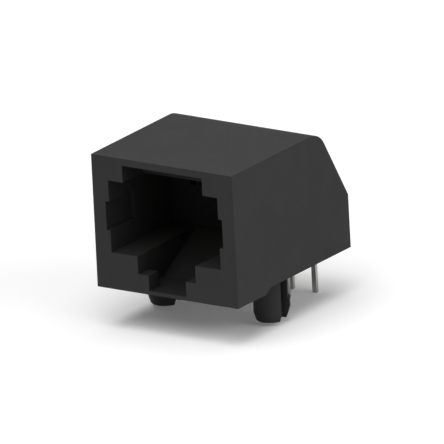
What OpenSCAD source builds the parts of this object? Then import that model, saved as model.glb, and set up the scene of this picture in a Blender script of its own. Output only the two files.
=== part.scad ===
// Right-angle board jack for an eight-way modular plug, latch side towards the board.
//
// The frame: X runs across the port, the plug goes in along +Y, and Z = 0 is the board's surface.
// The origin lies on the board, midway between the two board posts.

/* [Body] */
// Overall width
body_w = 15.24; // [14.6:0.01:20]
// Overall length, front face to back
body_l = 18.11; // [15:0.01:24]
// Wall under the latch slot
floor_t = 0.33; // [0.25:0.01:1]
// Roof over the contact notch
roof_t = 0.66; // [0.5:0.01:2]
// Length of the low pad under the front
pad_l = 4.5; // [3:0.01:6]
// Height of the underside over the board, behind the pad
standoff_h = 0.497; // [0.2:0.001:1]
// Angle of the ramp behind the pad
ramp_angle = 30; // [20:1:60]
// Height of the upright part of the back
back_h = 5.485; // [3:0.001:8]
// Angle of the sloping back
slope_angle = 60; // [50:1:70]
// Radius where the roof turns into the slope
crown_r = 2.4; // [1:0.1:3]

/* [Port] */
// Width of the plug port
port_w = 11.85; // [11:0.01:14.2]
// Height of the plug port
port_h = 6.803; // [5.6:0.001:8.2]
// Width across the side reliefs
relief_w = 12.63; // [12:0.01:14.4]
// Height of the side reliefs
relief_h = 2.73; // [1:0.01:4]
// Height of the reliefs over the port's floor
relief_up = 2.06; // [1:0.01:4]
// Depth of the side reliefs
relief_l = 4; // [1:0.1:6]
// Width of the wide latch step
latch_w = 6.26; // [5:0.01:7.6]
// Depth of the wide latch step below the port's floor
latch_h = 1.667; // [1:0.001:2.5]
// Width of the narrow latch slot
slot_w = 4.04; // [3:0.01:5]
// Depth of the narrow latch slot below the wide step
slot_h = 1.442; // [1:0.001:2]
// Thickness of the catch that the plug's latch snaps behind
catch_t = 1.6; // [1:0.1:3]
// Length from the front face to the end of the latch pocket's level floor
pocket_l = 4.15; // [3:0.01:5]
// Side clearance in the latch pocket
pocket_clear = 0.12; // [0:0.01:0.5]

/* [Contact notch and comb] */
// Height of the contact notch above the port
notch_h = 1.613; // [1.45:0.001:2.5]
// Depth of the contact notch
notch_l = 3.33; // [2.5:0.01:3.8]
// Notch beside the outer contacts' middles
notch_side = 0.774; // [0.5:0.001:1.2]
// Thickness of the bar in front of the contacts' noses
bar_t = 0.65; // [0.4:0.01:1]
// Gap between the roof and the contacts that run under it
roof_gap = 0.05; // [0.02:0.01:0.1]
// Clearance round a contact where it flexes
flex_clear = 0.1; // [0.05:0.01:0.2]
// Where the roof stops, ahead of the slope's top corner
roof_end_in = 0.19; // [0:0.01:0.4]

/* [Board posts] */
// Distance between the posts
post_span = 11.43; // [9:0.01:14]
// Radius of a post
post_r = 1.6; // [1:0.01:1.9]
// Slot that splits a post in two
post_slot = 0.98; // [0.5:0.01:1.4]
// Distance of the slot's middle ahead of the post's axis
post_slot_ahead = 0.04; // [0:0.01:0.1]
// Reach of the plain front prong below the board's surface
prong_l = 3.5; // [2.8:0.01:5]
// Length of the front prong's taper
prong_taper = 0.745; // [0.3:0.001:1.5]
// Radius at a prong's tip
prong_tip_r = 1.4; // [0.9:0.01:1.6]
// Reach of the barbed rear prong below the board's surface
barb_prong_l = 3.335; // [2.8:0.001:5]
// Depth of the barb's shoulder below the board's surface
barb_down = 1.445; // [1:0.001:2.4]
// How far the barb stands out of the post
barb_out = 0.16; // [0.05:0.01:0.4]
// Length of the barb's full-width band
barb_l = 0.87; // [0.3:0.01:1.2]

/* [Contacts] */
// Spacing of the contacts in the port
contact_pitch = 1.016; // [0.9:0.001:1.22]
// Width of a contact's strip
contact_w = 0.46; // [0.3:0.01:0.56]
// Thickness of a contact's strip
contact_t = 0.32; // [0.2:0.01:0.42]
// Inside radius of the bends in the carrier
bend_r = 0.4; // [0.2:0.01:0.6]
// Inside radius of the nose
nose_r = 0.32; // [0.2:0.01:0.4]
// Height from the port's floor to the middle of a contact's free end
free_end_up = 4.42; // [4.2:0.01:5]
// Reach of the free ends into the carrier's comb
free_end_in = 0.6; // [0.2:0.01:0.9]

/* [Tails] */
// Spacing of the tails across the board
tail_pitch = 1.27; // [1.1:0.01:1.5]
// Distance between the two rows of tails
row_pitch = 2.54; // [2.2:0.01:3.05]
// Distance from the post line to the front row
posts_to_row = 6.35; // [5.3:0.01:7.7]
// Distance from the rear row to the back of the body
row_to_back = 1.35; // [1:0.01:2]
// Reach of the tails below the board's surface
tail_l = 3.815; // [2.5:0.001:5]

/* [Carrier] */
// Shoulder at each side of the port that the carrier seats against
shoulder = 0.4; // [0.2:0.05:0.8]
// Gap between the carrier and the body
carrier_gap = 0.05; // [0.02:0.01:0.15]
// Carrier between its front face and the front row's middle
carrier_wall = 4.32; // [3.8:0.01:4.6]
// Recess of the carrier's underside above the body's underside
carrier_recess = 0.1; // [0:0.01:0.4]
// Thickness of the plate that lines up the tails
tail_plate_t = 1.2; // [0.6:0.1:2]
// Clearance round a contact in the carrier
grip_clear = 0.03; // [0.01:0.01:0.1]
// Depth of the comb in the carrier's front face
comb_l = 1; // [0.7:0.1:1.4]
// Travel of a free end below its rest in the comb
comb_down = 0.5; // [0.2:0.1:1]
// Length in which the strips spread from the port's spacing to the board's
fan_l = 2; // [1.4:0.1:3]
// Height of the snap ridges on the carrier's sides
ridge_out = 0.25; // [0.1:0.01:0.4]
// Length of a snap ridge's foot
ridge_l = 0.9; // [0.6:0.1:1.5]
// Height of a snap ridge up the side
ridge_h = 3; // [1:0.1:4]
// Width of a foot under each of the carrier's rear corners
foot_w = 0.9; // [0.5:0.05:1]
// Length of a foot
foot_l = 0.75; // [0.5:0.05:1]

/* [Hidden] */
$fn = 64;
COUNT = 8;
CUT = 1;  // how far a cutter runs past what it cuts
BEND_STEP = 10;  // degrees of bend in each flat of a strip's bend
POST_ROOT = 1;  // how far a post runs up into the body
TIP_EDGE = 0.08;  // broken edge at a post's tip
SLOPE_WALL = 0.45;  // from the back's slope to the sloping strips
PLATE_TO_BEND = 0.4;  // from the tail plate to where the strips start to fan

// Heights, from the board up
latch_z = floor_t + slot_h;
port_z = latch_z + latch_h;
port_top_z = port_z + port_h;
notch_top_z = port_top_z + notch_h;
body_h = notch_top_z + roof_t;
carrier_z = standoff_h + carrier_recess;
tail_plate_z = carrier_z + tail_plate_t;

// Lengths, from the post line back
front_row_y = posts_to_row;
rear_row_y = front_row_y + row_pitch;
back_y = rear_row_y + row_to_back;
front_y = back_y - body_l;
carrier_y = front_row_y - carrier_wall;
bar_y = front_y + notch_l + bar_t;  // the back of the bar
slope_y = back_y - (body_h - back_h) / tan(slope_angle);
crown = [slope_y - crown_r * tan(slope_angle / 2), body_h - crown_r];
roof_end_y = slope_y - roof_end_in;

// The strip's middle line. A rear-row strip follows the slope and a front-row strip is upright.
run_z = notch_top_z - roof_gap - contact_t / 2;
bend_mid = bend_r + contact_t / 2;
nose_mid = nose_r + contact_t / 2;
nose = [bar_y + flex_clear + contact_t / 2 + nose_mid, run_z - nose_mid];  // the middle of its bend
free_end = [carrier_y + free_end_in, port_z + free_end_up];
to_end = free_end - nose;
arm_angle = atan2(-to_end[1], to_end[0]) - asin(nose_mid / norm(to_end));
nose_corner = [nose[0] - nose_mid / tan(arm_angle / 2), run_z];
slope_shift = (SLOPE_WALL + contact_t / 2) / sin(slope_angle);

comb_slot_w = contact_w + 2 * flex_clear;
grip_w = contact_w + 2 * grip_clear;
fan_z = tail_plate_z + PLATE_TO_BEND;
fan_top_z = fan_z + fan_l;
notch_w = (COUNT - 1) * contact_pitch + 2 * notch_side;
bay_w = port_w + 2 * shoulder;
carrier_w = bay_w - 2 * carrier_gap;

// Where contact i, counted from 0 at -X, lies in the port and on the board
function contact_x(i) = (i - (COUNT - 1) / 2) * contact_pitch;
function tail_x(i) = (i - (COUNT - 1) / 2) * tail_pitch;
function in_front_row(i) = i % 2 == 0;
function tail_y(i) = in_front_row(i) ? front_row_y : rear_row_y;
// Where the sloping strips' middle line is at a height
function slope_line_y(z) = slope_y - slope_shift + (body_h - z) / tan(slope_angle);
function slope_line_z(y) = body_h - (y - slope_y + slope_shift) * tan(slope_angle);

// ---- Small helpers ----

// A block given by its ranges along X, Y and Z
module block(x, y, z) {
    translate([x[0], y[0], z[0]]) cube([x[1] - x[0], y[1] - y[0], z[1] - z[0]]);
}

// An outline in Y and Z, extruded w wide about x
module across(x, w) {
    translate([x - w / 2, 0, 0]) rotate([90, 0, 90]) linear_extrude(w) children();
}

// An outline in X and Z, extruded from y0 to y1
module lengthwise(y0, y1) {
    translate([0, y1, 0]) rotate([90, 0, 0]) linear_extrude(y1 - y0) children();
}

// The range w wide about c
function span(c, w) = [c - w / 2, c + w / 2];

// The direction from a to b, the unit vector to its left, and a turn kept within a half circle
function heading(a, b) = atan2(b[1] - a[1], b[0] - a[0]);
function left(h) = [-sin(h), cos(h)];
function wrap(t) = t > 180 ? t - 360 : t < -180 ? t + 360 : t;

// The bend at corner b of a strip's middle line, of radius r, drawn off to its left
function bend(a, b, c, r, off) =
    let (
        h0 = heading(a, b),
        t = wrap(heading(b, c) - h0),
        s = sign(t),
        centre = b - r * tan(abs(t) / 2) * [cos(h0), sin(h0)] + s * r * left(h0),
        n = ceil(abs(t) / BEND_STEP)
    )
    [for (k = [0:n]) centre - s * (r - s * off) * left(h0 + t * k / n)];

// One side of a strip that follows path, whose inner corners have the radii in r
function strip_side(path, r, off) =
    let (n = len(path) - 1)
    [
        path[0] + off * left(heading(path[0], path[1])),
        for (k = [1:n - 1]) each bend(path[k - 1], path[k], path[k + 1], r[k - 1], off),
        path[n] + off * left(heading(path[n - 1], path[n]))
    ];

// A strip t thick that follows path
module strip(path, r, t) {
    far = strip_side(path, r, -t / 2);
    polygon(concat(strip_side(path, r, t / 2), [for (k = [len(far) - 1:-1:0]) far[k]]));
}

// ---- Housing ----

// The side view of the whole body
module side_outline() {
    ramp_l = standoff_h / tan(ramp_angle);
    polygon([
        [front_y, 0], [front_y, body_h], [crown[0], body_h],
        crown + crown_r * [sin(slope_angle), cos(slope_angle)],
        [back_y, back_h], [back_y, standoff_h],
        [front_y + pad_l + ramp_l, standoff_h], [front_y + pad_l, 0]
    ]);
    translate(crown) circle(crown_r);
}

// The stepped opening that the plug enters
module port() {
    block(span(0, port_w), [front_y - CUT, carrier_y], [port_z, port_top_z]);
    block(span(0, relief_w), [front_y - CUT, front_y + relief_l],
          [port_z + relief_up, port_z + relief_up + relief_h]);
    block(span(0, notch_w), [front_y - CUT, front_y + notch_l],
          [port_top_z - CUT, notch_top_z]);
    block(span(0, latch_w), [front_y - CUT, front_y + catch_t + CUT], [latch_z, port_z + CUT]);
    block(span(0, slot_w), [front_y - CUT, front_y + catch_t + CUT], [floor_t, latch_z + CUT]);
}

// The pocket that the plug's latch springs down into, behind its catch
module latch_pocket() {
    rise = port_z + CUT - floor_t;
    across(0, latch_w + 2 * pocket_clear) polygon([
        [front_y + catch_t, floor_t], [front_y + pocket_l, floor_t],
        [front_y + pocket_l + rise / tan(ramp_angle), port_z + CUT], [front_y + catch_t, port_z + CUT]
    ]);
}

// One slot of the comb in the roof for each contact to flex in
module roof_comb() {
    for (i = [0:COUNT - 1])
        block(span(contact_x(i), comb_slot_w), [bar_y, back_y],
              [port_top_z - CUT, notch_top_z]);
}

// The bay, open behind and below, that the carrier slides into
module carrier_bay() {
    across(0, bay_w) polygon([
        [carrier_y - carrier_gap, -CUT], [back_y + CUT, -CUT], [back_y + CUT, body_h + CUT],
        [roof_end_y, body_h + CUT], [roof_end_y, port_top_z], [carrier_y - carrier_gap, port_top_z]
    ]);
    for (side = [-1, 1]) snap_ridge(side, carrier_gap);
}

// A prong of a board post: a turned outline, kept on one side of the slot
module prong(outline, side) {
    intersection() {
        rotate_extrude() polygon(outline);
        translate([0, side * (post_slot / 2 + post_r) - post_slot_ahead, 0])
            cube([4 * post_r, 2 * post_r, 2 * body_h], center = true);
    }
}

// A split snap-in post: a plain front prong and a barbed rear one
module board_post() {
    top = standoff_h + POST_ROOT;
    barb_r = post_r + barb_out;
    prong([
        [0, top], [post_r, top], [post_r, prong_taper - prong_l],
        [prong_tip_r, TIP_EDGE - prong_l], [prong_tip_r - TIP_EDGE, -prong_l], [0, -prong_l]
    ], -1);
    prong([
        [0, top], [post_r, top], [post_r, -barb_down], [barb_r, -barb_down],
        [barb_r, -barb_down - barb_l], [prong_tip_r, TIP_EDGE - barb_prong_l],
        [prong_tip_r - TIP_EDGE, -barb_prong_l], [0, -barb_prong_l]
    ], 1);
}

module housing() {
    color([0.23, 0.23, 0.23]) {
        difference() {
            across(0, body_w) side_outline();
            port();
            latch_pocket();
            roof_comb();
            carrier_bay();
        }
        for (side = [-1, 1]) translate([side * post_span / 2, 0, 0]) board_post();
    }
}

// ---- Contact carrier ----

// A ridge on the carrier's side, grown by grow for its groove in the body
module snap_ridge(side, grow) {
    side_x = carrier_w / 2;
    y = (front_row_y + rear_row_y) / 2;
    half = ridge_l / 2 + grow;
    translate([0, 0, fan_z - grow]) linear_extrude(ridge_h + 2 * grow) polygon([
        [side * (side_x - CUT), y - half], [side * side_x, y - half],
        [side * (side_x + ridge_out + grow), y + half / 3],
        [side * (side_x + ridge_out + grow), y + half],
        [side * (side_x - CUT), y + half]
    ]);
}

// The solid wedge behind the port, flush with the body's back
module carrier_block() {
    intersection() {
        across(0, carrier_w) side_outline();
        across(0, bay_w) polygon([
            [carrier_y, carrier_z], [back_y + CUT, carrier_z], [back_y + CUT, body_h + CUT],
            [roof_end_y + carrier_gap, body_h + CUT], [roof_end_y + carrier_gap, port_top_z - carrier_gap],
            [carrier_y, port_top_z - carrier_gap]
        ]);
    }
    for (side = [-1, 1]) {
        snap_ridge(side, 0);
        mirror([side < 0 ? 1 : 0, 0, 0])
            block([carrier_w / 2 - foot_w, carrier_w / 2],
                  [back_y - foot_l, back_y], [0, carrier_z + CUT]);
    }
}

// The channel for contact i: a hole through the tail plate, then a groove open to the back
module channel(i) {
    x = contact_x(i);
    y = tail_y(i) - contact_t / 2 - grip_clear;
    block(span(tail_x(i), grip_w), span(tail_y(i), contact_t + 2 * grip_clear),
          [-CUT, tail_plate_z + CUT]);
    lengthwise(y, back_y + CUT) fan_outline(i, grip_w, tail_plate_z, upright_top_z(i));
    across(x, grip_w) polygon([
        [slope_line_y(fan_top_z), fan_top_z] + slope_offset(),
        [slope_line_y(body_h), body_h] + slope_offset(),
        [back_y + CUT, body_h], [back_y + CUT, fan_top_z]
    ]);
    block(span(x, grip_w), [roof_end_y, back_y + CUT], [port_top_z - 2 * carrier_gap, body_h + CUT]);
}

// From a sloping strip's middle line to its front surface and clearance
function slope_offset() = -(contact_t / 2 + grip_clear) * [sin(slope_angle), cos(slope_angle)];
// How far up a channel is upright before the slope takes over
function upright_top_z(i) = in_front_row(i) ? port_top_z : slope_line_z(rear_row_y);

// One slot for each free end to flex in
module front_comb() {
    for (i = [0:COUNT - 1])
        block(span(contact_x(i), comb_slot_w), [carrier_y - CUT, carrier_y + comb_l],
              [free_end[1] - contact_t / 2 - comb_down, port_top_z]);
}

module contact_carrier() {
    color([0.16, 0.16, 0.16]) difference() {
        carrier_block();
        for (i = [0:COUNT - 1]) channel(i);
        front_comb();
    }
}

// ---- Contacts ----

// The front view of an upright strip w wide that fans out from its contact to its tail
module fan_outline(i, w, z0, z1) {
    half = w / 2;
    polygon([
        [tail_x(i) - half, z0], [tail_x(i) + half, z0], [tail_x(i) + half, fan_z],
        [contact_x(i) + half, fan_top_z], [contact_x(i) + half, z1], [contact_x(i) - half, z1],
        [contact_x(i) - half, fan_top_z], [tail_x(i) - half, fan_z]
    ]);
}

// Where a strip leaves its upright stretch
function upright_end_z(i) = in_front_row(i)
    ? run_z - bend_mid
    : slope_line_z(rear_row_y) - bend_mid * tan((90 - slope_angle) / 2);

// The middle line of contact i: free arm, nose, roof run and the way down to the upright stretch.
// A front-row strip turns straight down; a rear-row one first follows the body's slope.
function contact_path(i) = concat(
    [free_end, nose_corner],
    in_front_row(i)
        ? [[front_row_y, run_z]]
        : [[slope_line_y(run_z), run_z], [rear_row_y, slope_line_z(rear_row_y)]],
    [[tail_y(i), upright_end_z(i) - contact_t]]
);

module contact(i) {
    color([0.83, 0.66, 0.3]) {
        across(contact_x(i), contact_w)
            strip(contact_path(i), [nose_mid, bend_mid, bend_mid], contact_t);
        lengthwise(tail_y(i) - contact_t / 2, tail_y(i) + contact_t / 2)
            fan_outline(i, contact_w, -tail_l, upright_end_z(i));
    }
}

housing();
contact_carrier();
contact(0);  // contact_1
contact(1);  // contact_2
contact(2);  // contact_3
contact(3);  // contact_4
contact(4);  // contact_5
contact(5);  // contact_6
contact(6);  // contact_7
contact(7);  // contact_8
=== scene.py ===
"""Visual model of an eight-way right-angle board jack."""

import logging
import math
from dataclasses import dataclass
from enum import Enum
from typing import Any

import bmesh
import bpy
from mathutils import Matrix, Vector


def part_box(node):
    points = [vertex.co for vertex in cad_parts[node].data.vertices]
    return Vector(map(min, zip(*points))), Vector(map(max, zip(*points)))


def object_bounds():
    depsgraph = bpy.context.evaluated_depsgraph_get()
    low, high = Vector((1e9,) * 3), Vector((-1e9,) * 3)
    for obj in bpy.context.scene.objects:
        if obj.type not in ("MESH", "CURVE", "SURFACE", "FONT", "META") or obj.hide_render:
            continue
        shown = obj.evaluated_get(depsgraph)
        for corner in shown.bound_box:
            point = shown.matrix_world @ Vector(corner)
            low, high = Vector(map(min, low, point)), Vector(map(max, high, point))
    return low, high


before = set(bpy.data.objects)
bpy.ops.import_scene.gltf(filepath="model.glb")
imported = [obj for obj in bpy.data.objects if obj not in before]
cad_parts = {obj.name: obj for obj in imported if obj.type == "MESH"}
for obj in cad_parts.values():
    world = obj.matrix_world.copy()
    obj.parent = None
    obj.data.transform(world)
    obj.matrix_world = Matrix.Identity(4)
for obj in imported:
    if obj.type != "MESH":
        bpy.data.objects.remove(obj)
cad_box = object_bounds()

LOG = logging.getLogger("board_jack")
MM = 0.001
WHITE = (1.0, 1.0, 1.0, 1.0)
# Values between which nearly all of a noise pattern falls.
NOISE_LOW, NOISE_HIGH = 0.3, 0.7


class Slot(Enum):
    """The record's material slots."""

    HOUSING = "housing_plastic"
    CARRIER = "carrier_plastic"
    CONTACT = "contact_metal"


def linear_colour(shade: str, gain: float = 1.0) -> tuple[float, float, float, float]:
    """Turns an sRGB hex value into a linear colour.

    Args:
        shade: Colour such as "#3a3a3a".
        gain: Brightness to multiply the linear colour by.

    Returns:
        Linear red, green, blue and an alpha of 1.
    """
    parts = [int(shade[i : i + 2], 16) / 255 for i in (1, 3, 5)]
    red, green, blue = [c / 12.92 if c <= 0.04045 else ((c + 0.055) / 1.055) ** 2.4 for c in parts]
    return (gain * red, gain * green, gain * blue, 1.0)


def add_node(
    tree: bpy.types.NodeTree,
    kind: str,
    settings: dict[str, Any] | None = None,
    values: dict[str | int, Any] | None = None,
    links: dict[str | int, bpy.types.NodeSocket] | None = None,
) -> bpy.types.Node:
    """Adds a node with its settings, socket values and incoming links.

    Args:
        tree: Node tree to add to.
        kind: Node type.
        settings: Node attributes to set.
        values: Input socket, by name or place, to its plain value.
        links: Input socket, by name or place, to the output that feeds it.

    Returns:
        The new node.
    """
    node = tree.nodes.new(kind)
    for key, value in (settings or {}).items():
        setattr(node, key, value)
    for key, value in (values or {}).items():
        node.inputs[key].default_value = value
    for key, source in (links or {}).items():
        tree.links.new(source, node.inputs[key])
    return node


def new_material(name: str) -> tuple[bpy.types.Material, bpy.types.NodeTree, bpy.types.Node]:
    """Starts a material.

    Args:
        name: Material name.

    Returns:
        The material, its node tree and its Principled surface.
    """
    material = bpy.data.materials.new(name)
    material.use_nodes = True
    return material, material.node_tree, material.node_tree.nodes["Principled BSDF"]


# Glass-filled polyester moulded in a spark-eroded tool looks an even, dull grey-black: broad soft
# highlights, no mirror, and a fine tooth that shows only where light rakes across it.
@dataclass(frozen=True)
class MouldedPolyester:
    """Glass-filled polyester, injection moulded in a spark-eroded tool.

    Attributes:
        name: Material name.
        shade: Base colour.
        roughness: Middle roughness of the skin.
        roughness_swing: How far the grain moves the roughness either way.
        specular: Strength of the plain reflection, low because the skin is finely pitted.
        grain_mm: Size of the eroded grain, drawn coarser than the real 0.05 mm so that it shows.
        grain_depth_mm: Depth of the grain.
        flow_mm: Size of the faint clouds that the glass fibre leaves.
        flow_swing: How far the clouds move the brightness either way.
        edge_mm: Radius that the tool leaves on an edge.
        port_shade_share: Share of the brightness left inside the box, the painted shade that darkens the
            port's walls.
        port_shade_edge: Where, as a share of the box's half-size, the painted shade starts to fade out
            towards the outside.
    """

    name: str
    shade: str
    roughness: float = 0.75
    roughness_swing: float = 0.05
    specular: float = 0.14
    grain_mm: float = 0.16
    grain_depth_mm: float = 0.002
    flow_mm: float = 3.0
    flow_swing: float = 0.06
    edge_mm: float = 0.05
    port_shade_share: float = 0.45
    port_shade_edge: float = 0.995

    def painted_port_shade(
        self, tree: bpy.types.NodeTree, place: bpy.types.NodeSocket, low: Vector, high: Vector
    ) -> bpy.types.NodeSocket:
        """Finds how much of the colour's brightness each point keeps under the painted shade.

        Args:
            tree: Node tree to build in.
            place: Object coordinates.
            low: Lowest corner of the box inside which the colour is darkened as painted shade, in metres.
            high: Highest corner of that box, in metres.

        Returns:
            The share left by the painted shade inside the box, and 1 outside it.
        """
        centred = add_node(
            tree,
            "ShaderNodeVectorMath",
            {"operation": "SUBTRACT"},
            values={1: (low + high) / 2},
            links={0: place},
        )
        folded = add_node(
            tree, "ShaderNodeVectorMath", {"operation": "ABSOLUTE"}, links={0: centred.outputs[0]}
        )
        reach = add_node(
            tree,
            "ShaderNodeVectorMath",
            {"operation": "DIVIDE"},
            values={1: (high - low) / 2},
            links={0: folded.outputs[0]},
        )
        axes = add_node(tree, "ShaderNodeSeparateXYZ", links={0: reach.outputs[0]})
        furthest = axes.outputs[0]
        for axis in (1, 2):
            wider = add_node(
                tree, "ShaderNodeMath", {"operation": "MAXIMUM"}, links={0: furthest, 1: axes.outputs[axis]}
            )
            furthest = wider.outputs[0]
        # Painted shade: inside the box the colour keeps only a set share of its brightness, fading back to
        # full at the box's edge.
        share = add_node(
            tree,
            "ShaderNodeMapRange",
            values={"From Min": self.port_shade_edge, "From Max": 1.0, "To Min": self.port_shade_share, "To Max": 1.0},
            links={"Value": furthest},
        )
        return share.outputs["Result"]

    def build(self, low: Vector, high: Vector) -> bpy.types.Material:
        """Builds the material.

        Args:
            low: Lowest corner of the box inside which the colour is darkened as painted shade, in metres.
            high: Highest corner of that box, in metres.

        Returns:
            The material.
        """
        material, tree, surface = new_material(self.name)
        place = add_node(tree, "ShaderNodeTexCoord").outputs["Object"]
        flow = add_node(
            tree,
            "ShaderNodeTexNoise",
            values={"Scale": 1 / (self.flow_mm * MM), "Detail": 2.0},
            links={"Vector": place},
        )
        clouds = add_node(tree, "ShaderNodeValToRGB", links={"Fac": flow.outputs["Fac"]})
        for stop, at, swing in zip(clouds.color_ramp.elements, (NOISE_LOW, NOISE_HIGH), (-1, 1)):
            stop.position = at
            stop.color = linear_colour(self.shade, 1 + swing * self.flow_swing)
        grain = add_node(
            tree,
            "ShaderNodeTexNoise",
            values={"Scale": 1 / (self.grain_mm * MM), "Detail": 4.0},
            links={"Vector": place},
        )
        gloss = add_node(
            tree,
            "ShaderNodeMapRange",
            values={
                "From Min": NOISE_LOW,
                "From Max": NOISE_HIGH,
                "To Min": self.roughness - self.roughness_swing,
                "To Max": self.roughness + self.roughness_swing,
            },
            links={"Value": grain.outputs["Fac"]},
        )
        edge = add_node(tree, "ShaderNodeBevel", values={"Radius": self.edge_mm * MM})
        bump = add_node(
            tree,
            "ShaderNodeBump",
            values={"Distance": self.grain_depth_mm * MM},
            links={"Height": grain.outputs["Fac"], "Normal": edge.outputs["Normal"]},
        )
        # The outside keeps the dull grey-black of an eroded tool, and inside the box the colour is darkened
        # as painted shade, which stands in for the shade deep in the port.
        skin = add_node(
            tree,
            "ShaderNodeVectorMath",
            {"operation": "SCALE"},
            links={0: clouds.outputs["Color"], "Scale": self.painted_port_shade(tree, place, low, high)},
        )
        tree.links.new(skin.outputs[0], surface.inputs["Base Color"])
        tree.links.new(gloss.outputs["Result"], surface.inputs["Roughness"])
        tree.links.new(bump.outputs["Normal"], surface.inputs["Normal"])
        surface.inputs["Specular IOR Level"].default_value = self.specular
        return material


# Plated spring strip looks warm and bright where it is gold, cool satin grey where it is tinned, and
# duller along the sides, where the shear cut through the plating.
@dataclass(frozen=True)
class PlatedSpringStrip:
    """Phosphor bronze strip, rolled, plated, sheared and formed.

    Attributes:
        name: Material name.
        gold: Plating where a plug touches.
        tin: Plating on the tails.
        sheared: Cut edges at the strip's sides.
        roughness: Middle roughness.
        roughness_swing: How far the rolling marks move the roughness either way.
        rolling_mm: Spacing of the rolling marks, drawn coarser than the real 0.005 mm so that they show.
        rolling_depth_mm: Depth of the rolling marks.
        edge_mm: Radius that rolling leaves on an edge.
        blend_mm: Length in which the gold gives way to the tin.
        side_from: How squarely a face looks sideways where the sheared tone starts.
        side_full: How squarely a face looks sideways where it is all sheared tone.
    """

    name: str
    gold: str = "#e0b45a"
    tin: str = "#9b9c9b"
    sheared: str = "#a3a29e"
    roughness: float = 0.3
    roughness_swing: float = 0.06
    rolling_mm: float = 0.03
    rolling_depth_mm: float = 0.0006
    edge_mm: float = 0.02
    blend_mm: float = 0.2
    side_from: float = 0.85
    side_full: float = 0.95

    def build(self, gold_to: float) -> bpy.types.Material:
        """Builds the material.

        Args:
            gold_to: How far back along Y the gold reaches, in metres.

        Returns:
            The material.
        """
        material, tree, surface = new_material(self.name)
        coords = add_node(tree, "ShaderNodeTexCoord")
        place = add_node(tree, "ShaderNodeSeparateXYZ", links={"Vector": coords.outputs["Object"]})
        facing = add_node(tree, "ShaderNodeSeparateXYZ", links={"Vector": coords.outputs["Normal"]})
        half_blend = self.blend_mm * MM / 2
        tinned = add_node(
            tree,
            "ShaderNodeMapRange",
            values={"From Min": gold_to - half_blend, "From Max": gold_to + half_blend},
            links={"Value": place.outputs["Y"]},
        )
        sideways = add_node(tree, "ShaderNodeMath", {"operation": "ABSOLUTE"}, links={0: facing.outputs["X"]})
        cut = add_node(
            tree,
            "ShaderNodeMapRange",
            values={"From Min": self.side_from, "From Max": self.side_full},
            links={"Value": sideways.outputs[0]},
        )
        plating = add_node(tree, "ShaderNodeMixRGB", links={0: tinned.outputs["Result"]})
        plating.inputs[1].default_value = linear_colour(self.gold)
        plating.inputs[2].default_value = linear_colour(self.tin)
        colour = add_node(
            tree,
            "ShaderNodeMixRGB",
            values={2: linear_colour(self.sheared)},
            links={0: cut.outputs["Result"], 1: plating.outputs[0]},
        )
        rolling = add_node(
            tree,
            "ShaderNodeTexNoise",
            values={"Scale": 1 / (self.rolling_mm * MM), "Detail": 2.0},
            links={"Vector": coords.outputs["Object"]},
        )
        gloss = add_node(
            tree,
            "ShaderNodeMapRange",
            values={
                "From Min": NOISE_LOW,
                "From Max": NOISE_HIGH,
                "To Min": self.roughness - self.roughness_swing,
                "To Max": self.roughness + self.roughness_swing,
            },
            links={"Value": rolling.outputs["Fac"]},
        )
        edge = add_node(tree, "ShaderNodeBevel", values={"Radius": self.edge_mm * MM})
        bump = add_node(
            tree,
            "ShaderNodeBump",
            values={"Distance": self.rolling_depth_mm * MM},
            links={"Height": rolling.outputs["Fac"], "Normal": edge.outputs["Normal"]},
        )
        tree.links.new(colour.outputs[0], surface.inputs["Base Color"])
        tree.links.new(gloss.outputs["Result"], surface.inputs["Roughness"])
        tree.links.new(bump.outputs["Normal"], surface.inputs["Normal"])
        surface.inputs["Metallic"].default_value = 1.0
        return material


def dress(node: str, material: bpy.types.Material) -> bpy.types.Object:
    """Gives a piece its material.

    Args:
        node: Piece name.
        material: Material to give.

    Returns:
        The piece.
    """
    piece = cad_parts[node]
    piece.data.materials.clear()
    piece.data.materials.append(material)
    LOG.info("%s: %s", node, material.name)
    return piece


@dataclass
class Housing:
    """The moulded body with its port and board posts.

    Attributes:
        node: Piece name.
        finish: Plastic it is moulded in.
        port_shade_inset_mm: How far the box of painted shade is set in from the body's outside, across,
            lengthwise and up.
    """

    node: str = "housing"
    port_shade_inset_mm: tuple[float, float, float] = (0.9, 0.05, 0.1)
    finish: MouldedPolyester = MouldedPolyester("moulded_black_glass_filled_polyester", "#303030")

    def build(self) -> None:
        """Dresses the body, with painted shade darkening its port's walls inside a box set in from the
        outside.
        """
        wall = Vector(self.port_shade_inset_mm) * MM
        low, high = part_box(self.node)
        low = Vector((low.x, low.y, 0.0))
        dress(self.node, self.finish.build(low + wall, high - wall))

    def front_top_left(self) -> Vector:
        """Returns the corner that the view is set from."""
        low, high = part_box(self.node)
        return Vector((low.x, low.y, high.z))


@dataclass
class ContactCarrier:
    """The moulded carrier behind the port.

    Attributes:
        node: Piece name.
        finish: Plastic it is moulded in, drawn a little darker than the body's as painted shade at the back
            of the port.
        port_shade_l_mm: Length, from the front, darkened with painted shade, the part that faces the port.
    """

    node: str = "contact_carrier"
    port_shade_l_mm: float = 1.0
    # The darker tone is painted shade for the back of the port.
    finish: MouldedPolyester = MouldedPolyester("moulded_dark_carrier_polyester", "#242424", edge_mm=0.04)

    def build(self) -> None:
        """Dresses the carrier, with painted shade darkening the part that closes the port."""
        low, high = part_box(self.node)
        margin = Vector((MM, MM, MM))
        port_shade_end = Vector((high.x, low.y + self.port_shade_l_mm * MM, high.z))
        dress(self.node, self.finish.build(low - margin, port_shade_end + margin))

    def front(self) -> float:
        """Returns where the carrier's front face is along Y."""
        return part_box(self.node)[0].y


@dataclass
class SpringContacts:
    """The eight formed contacts.

    Attributes:
        gold_to: How far back along Y the gold reaches, in metres.
        count: Number of contacts.
        finish: Plated strip they are cut from.
    """

    gold_to: float
    count: int = 8
    finish: PlatedSpringStrip = PlatedSpringStrip("plated_phosphor_bronze_strip")

    def build(self) -> None:
        """Dresses each contact."""
        material = self.finish.build(self.gold_to)
        for place in range(1, self.count + 1):
            dress(f"contact_{place}", material)


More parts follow.
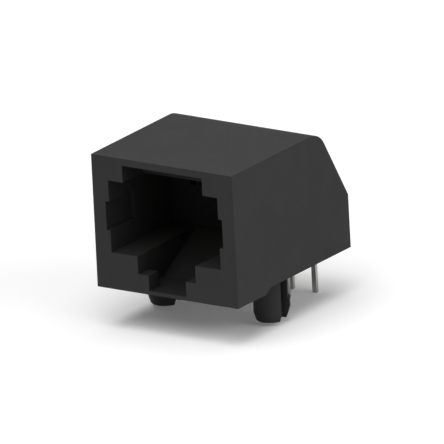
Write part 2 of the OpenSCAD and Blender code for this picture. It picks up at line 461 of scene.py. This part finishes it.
def seen_or_lighting(
    tree: bpy.types.NodeTree, lighting: bpy.types.NodeSocket, seen: bpy.types.NodeSocket
) -> bpy.types.NodeSocket:
    """Shows one shader to the view and to mirrors, and lights the jack with another.

    Args:
        tree: Node tree to build in.
        lighting: Shader that lights the jack.
        seen: Shader that is looked at, mirrored or looked at through glass.

    Returns:
        The combined shader.
    """
    path = add_node(tree, "ShaderNodeLightPath")
    looked_at = path.outputs["Is Camera Ray"]
    for ray in ("Is Glossy Ray", "Is Transmission Ray"):
        either = add_node(
            tree, "ShaderNodeMath", {"operation": "MAXIMUM"}, links={0: looked_at, 1: path.outputs[ray]}
        )
        looked_at = either.outputs[0]
    return add_node(tree, "ShaderNodeMixShader", links={0: looked_at, 1: lighting, 2: seen}).outputs[0]


# Matt white board gives a plain white ground that takes a soft grey shadow and mirrors nothing.
@dataclass(frozen=True)
class MattWhiteBoard:
    """Uncoated card, rolled smooth.

    Attributes:
        name: Material name.
        shade: Colour with which it lights the jack.
        seen: Colour as it is seen, white where nothing shades it.
        lift: Even light added to it as it is seen, which keeps its shadow soft grey.
    """

    name: str = "matt_white_board"
    shade: str = "#e8e8e8"
    seen: str = "#ffffff"
    lift: float = 0.08

    def build(self) -> bpy.types.Material:
        """Builds the material.

        Returns:
            The material.
        """
        material, tree, surface = new_material(self.name)
        surface.inputs["Base Color"].default_value = linear_colour(self.shade)
        surface.inputs["Roughness"].default_value = 1.0
        surface.inputs["Specular IOR Level"].default_value = 0.0
        shaded = add_node(tree, "ShaderNodeBsdfDiffuse", values={"Color": linear_colour(self.seen)})
        lift = add_node(tree, "ShaderNodeEmission", values={"Color": WHITE, "Strength": self.lift})
        seen = add_node(tree, "ShaderNodeAddShader", links={0: shaded.outputs[0], 1: lift.outputs[0]})
        both = seen_or_lighting(tree, surface.outputs[0], seen.outputs[0])
        # From below the board is clear, so that the underside of the jack can be looked at.
        side = add_node(tree, "ShaderNodeNewGeometry")
        clear = add_node(tree, "ShaderNodeBsdfTransparent")
        one_sided = add_node(
            tree, "ShaderNodeMixShader", links={0: side.outputs["Backfacing"], 1: both, 2: clear.outputs[0]}
        )
        tree.links.new(one_sided.outputs[0], tree.nodes["Material Output"].inputs["Surface"])
        return material


@dataclass(frozen=True)
class SoftLamp:
    """A broad lamp, far away.

    Attributes:
        name: Lamp name.
        strength: Light that it casts on a face square to it.
        direction: Direction that the light comes from.
        spread_deg: Apparent width, which softens the shadow.
    """

    name: str
    strength: float
    direction: tuple[float, float, float]
    spread_deg: float

    def build(self) -> None:
        """Builds the lamp."""
        light = bpy.data.lights.new(self.name, "SUN")
        light.energy = self.strength
        light.angle = math.radians(self.spread_deg)
        lamp = bpy.data.objects.new(self.name, light)
        lamp.rotation_mode = "QUATERNION"
        lamp.rotation_quaternion = Vector(self.direction).to_track_quat("Z", "Y")
        bpy.context.scene.collection.objects.link(lamp)


@dataclass
class Studio:
    """A pale floor under soft light.

    Attributes:
        sky: Strength of the even light from all round.
        lamps: The broad lamps.
        board: What the floor is made of.
        floor_half: Half the floor's width, in metres.
        floor_gap_mm: Gap that keeps the floor clear of the lowest tips.
    """

    sky: float = 0.236
    lamps: tuple[SoftLamp, ...] = (
        SoftLamp("overhead_lamp", 0.856, (0.0, 0.0, 1.0), 50.0),
        SoftLamp("front_lamp", 1.35, (0.05, -0.5, 0.9), 50.0),
        SoftLamp("side_lamp", 1.25, (0.95, 0.0, 0.3), 60.0),
    )
    board: MattWhiteBoard = MattWhiteBoard()
    floor_half: float = 1.0
    floor_gap_mm: float = 0.01

    def build_sky(self) -> None:
        """Builds the even light and the white backdrop."""
        world = bpy.data.worlds.new("studio_sky")
        bpy.context.scene.world = world
        world.use_nodes = True
        tree = world.node_tree
        lighting = tree.nodes["Background"]
        lighting.inputs["Color"].default_value = WHITE
        lighting.inputs["Strength"].default_value = self.sky
        backdrop = add_node(tree, "ShaderNodeBackground", values={"Color": WHITE, "Strength": 1.0})
        both = seen_or_lighting(tree, lighting.outputs[0], backdrop.outputs[0])
        tree.links.new(both, tree.nodes["World Output"].inputs["Surface"])

    def build_floor(self, height: float) -> None:
        """Builds the floor.

        Args:
            height: Height of the floor, in metres.
        """
        mesh = bpy.data.meshes.new("studio_floor")
        sheet = bmesh.new()
        bmesh.ops.create_grid(
            sheet,
            x_segments=1,
            y_segments=1,
            size=self.floor_half,
            matrix=Matrix.Translation((0.0, 0.0, height - self.floor_gap_mm * MM)),
        )
        sheet.to_mesh(mesh)
        sheet.free()
        floor = bpy.data.objects.new("studio_floor", mesh)
        bpy.context.scene.collection.objects.link(floor)
        mesh.materials.append(self.board.build())

    def build(self, floor_height: float) -> None:
        """Builds the whole studio.

        Args:
            floor_height: Height of the floor, in metres.
        """
        self.build_sky()
        self.build_floor(floor_height)
        for lamp in self.lamps:
            lamp.build()
        LOG.info("studio: floor at %.3f mm", floor_height / MM)


@dataclass
class Viewpoint:
    """A parallel view, set from the body's front top left corner.

    Attributes:
        azimuth_deg: Turn about Z, with 0 looking along +Y.
        elevation_deg: Angle above the horizon.
        roll_deg: Turn about the line of sight.
        width_mm: Width that the view takes in.
        right_mm: The view's middle, to the right of the corner.
        down_mm: The view's middle, below the corner.
        distance_mm: Distance of the camera.
    """

    azimuth_deg: float = 34.95
    elevation_deg: float = 17.98
    roll_deg: float = -2.95
    width_mm: float = 39.84
    right_mm: float = 11.765
    down_mm: float = 6.114
    distance_mm: float = 150.0

    def build(self, corner: Vector) -> None:
        """Builds the camera.

        Args:
            corner: The body's front top left corner.
        """
        azimuth = math.radians(self.azimuth_deg)
        elevation = math.radians(self.elevation_deg)
        level = math.cos(elevation)
        back = Vector((math.sin(azimuth) * level, -math.cos(azimuth) * level, math.sin(elevation)))
        across = Vector((math.cos(azimuth), math.sin(azimuth), 0.0))
        right = Matrix.Rotation(math.radians(self.roll_deg), 3, back) @ across
        up = back.cross(right)
        offset = self.right_mm * right - self.down_mm * up + self.distance_mm * back
        lens = bpy.data.cameras.new("view")
        lens.type = "ORTHO"
        lens.ortho_scale = self.width_mm * MM
        lens.clip_start = MM
        lens.clip_end = 10.0
        camera = bpy.data.objects.new("view", lens)
        turn = Matrix((right, up, back)).transposed().to_4x4()
        camera.matrix_world = Matrix.Translation(corner + offset * MM) @ turn
        bpy.context.scene.collection.objects.link(camera)
        bpy.context.scene.camera = camera


def main() -> None:
    """Builds the jack, the studio and the view."""
    logging.basicConfig(level=logging.INFO)
    bpy.context.scene.view_settings.view_transform = "Standard"
    housing = Housing()
    carrier = ContactCarrier()
    housing.build()
    carrier.build()
    SpringContacts(gold_to=carrier.front()).build()
    Studio().build(cad_box[0].z)
    Viewpoint().build(housing.front_top_left())


if __name__ == "__main__":
    main()
